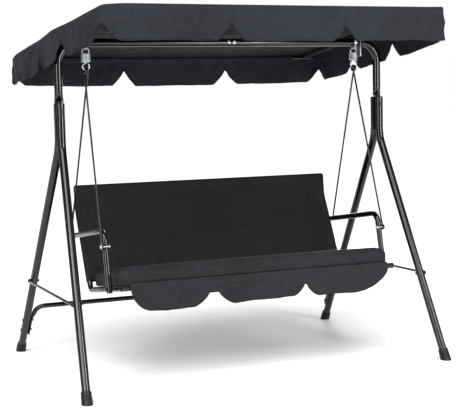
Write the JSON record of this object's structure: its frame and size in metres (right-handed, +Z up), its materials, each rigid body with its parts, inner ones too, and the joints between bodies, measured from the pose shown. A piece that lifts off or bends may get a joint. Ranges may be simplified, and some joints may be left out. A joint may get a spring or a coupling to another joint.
{
  "type": "canopy swing bench",
  "caption": "Garden swing bench with a padded seat and sleeve back, hung on rods and springs from a splayed tube stand, under a tilting cloth canopy with scalloped edges.",
  "frame": {"origin": "on the ground, under the middle of the object's bounding box, midway between the four feet", "axes": "+X along the bench (to the right seen from the front), +Y towards the back, +Z up; the seat faces -Y"},
  "size_m": [1.695, 1.1454, 1.53],
  "materials": {
    "black_steel": "gloss black powder coat",
    "zinc_plated_steel": "bright zinc plate",
    "black_plastic": "moulded black plastic",
    "canopy_cloth": "woven polyester, dark blue-grey",
    "seat_cloth": "woven polyester, charcoal",
    "back_cloth": "woven polyester, charcoal"
  },
  "bodies": {
    "frame": {"beam_bolt_1": "zinc_plated_steel", "beam_bolt_2": "zinc_plated_steel", "canopy_bracket_l": "black_steel", "canopy_bracket_r": "black_steel", "cross_bar": "black_steel", "cross_bolt_1_l": "black_steel", "cross_bolt_1_r": "black_steel", "cross_bolt_2_l": "black_steel", "cross_bolt_2_r": "black_steel", "foot_front_l": "black_plastic", "foot_front_r": "black_plastic", "foot_rear_l": "black_plastic", "foot_rear_r": "black_plastic", "leg_front_l": "black_steel", "leg_front_r": "black_steel", "leg_rear_l": "black_steel", "leg_rear_r": "black_steel", "side_bolt_front_l": "black_steel", "side_bolt_front_r": "black_steel", "side_bolt_rear_l": "black_steel", "side_bolt_rear_r": "black_steel", "side_plate": "zinc_plated_steel", "side_rod_l": "black_steel", "side_rod_r": "black_steel", "splice_bolt_l": "black_steel", "splice_bolt_r": "black_steel", "spring_shackle_l": "zinc_plated_steel", "spring_shackle_r": "zinc_plated_steel", "top_tube_l": "black_steel", "top_tube_r": "black_steel"},
    "canopy": {"canopy_arm_l": "black_steel", "canopy_arm_r": "black_steel", "canopy_rod_front": "black_steel", "canopy_rod_rear": "black_steel", "canopy_top": "canopy_cloth", "valance_front": "canopy_cloth", "valance_rear": "canopy_cloth", "valance_side_l": "canopy_cloth", "valance_side_r": "canopy_cloth"},
    "springs": {"spring_l": "zinc_plated_steel", "spring_r": "zinc_plated_steel"},
    "seat": {"armrest_l": "black_steel", "armrest_r": "black_steel", "back_rail_top": "black_steel", "back_sleeve": "back_cloth", "hanger_rod_front_l": "black_steel", "hanger_rod_front_r": "black_steel", "hanger_rod_rear_l": "black_steel", "hanger_rod_rear_r": "black_steel", "rod_bolt_front_l": "zinc_plated_steel", "rod_bolt_front_r": "zinc_plated_steel", "rod_bolt_rear_l": "zinc_plated_steel", "rod_bolt_rear_r": "zinc_plated_steel", "seat_cushion": "seat_cloth", "seat_rail_front": "black_steel", "seat_rail_rear": "black_steel", "seat_skirt": "seat_cloth", "side_frame_l": "black_steel", "side_frame_r": "black_steel"}
  },
  "joints": [
    {"name": "seat_swing", "type": "hinge", "parent": "frame", "child": "springs", "pos_m": [0, -0.085, 1.3948], "axis": [1, 0, 0], "range_deg": [-25, 25]},
    {"name": "spring_bounce", "type": "slide", "parent": "springs", "child": "seat", "axis": [0, 0, 1], "range_m": [-0.03, 0], "stiffness_N_per_m": 36000, "springref_m": 0.006, "deforming": ["spring_l", "spring_r"]},
    {"name": "canopy_tilt", "type": "hinge", "parent": "frame", "child": "canopy", "pos_m": [0, -0.085, 1.45552], "axis": [1, 0, 0], "range_deg": [-10, 15]}
  ]
}
